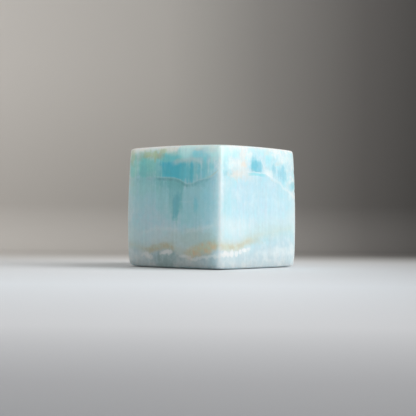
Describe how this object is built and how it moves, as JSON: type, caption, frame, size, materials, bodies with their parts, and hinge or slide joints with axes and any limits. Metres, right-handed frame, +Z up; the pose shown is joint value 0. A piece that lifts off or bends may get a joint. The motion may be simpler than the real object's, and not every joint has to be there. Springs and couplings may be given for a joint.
{
  "type": "polished calcite cube",
  "caption": "Softly rounded solid cube of banded pale blue calcite, a polished stone that stands on its flat base.",
  "frame": {"origin": "middle of the flat base, on the surface that the cube stands on", "axes": "+Z up through the block, -Y out of the face with the dark fang and the olive crust, +X out of the paler face with the wide white vein"},
  "size_m": [0.0512, 0.0512, 0.0499],
  "materials": {
    "polished_calcite": "satin"
  },
  "bodies": {
    "root": {"calcite_cube": "polished_calcite"}
  },
  "joints": []
}
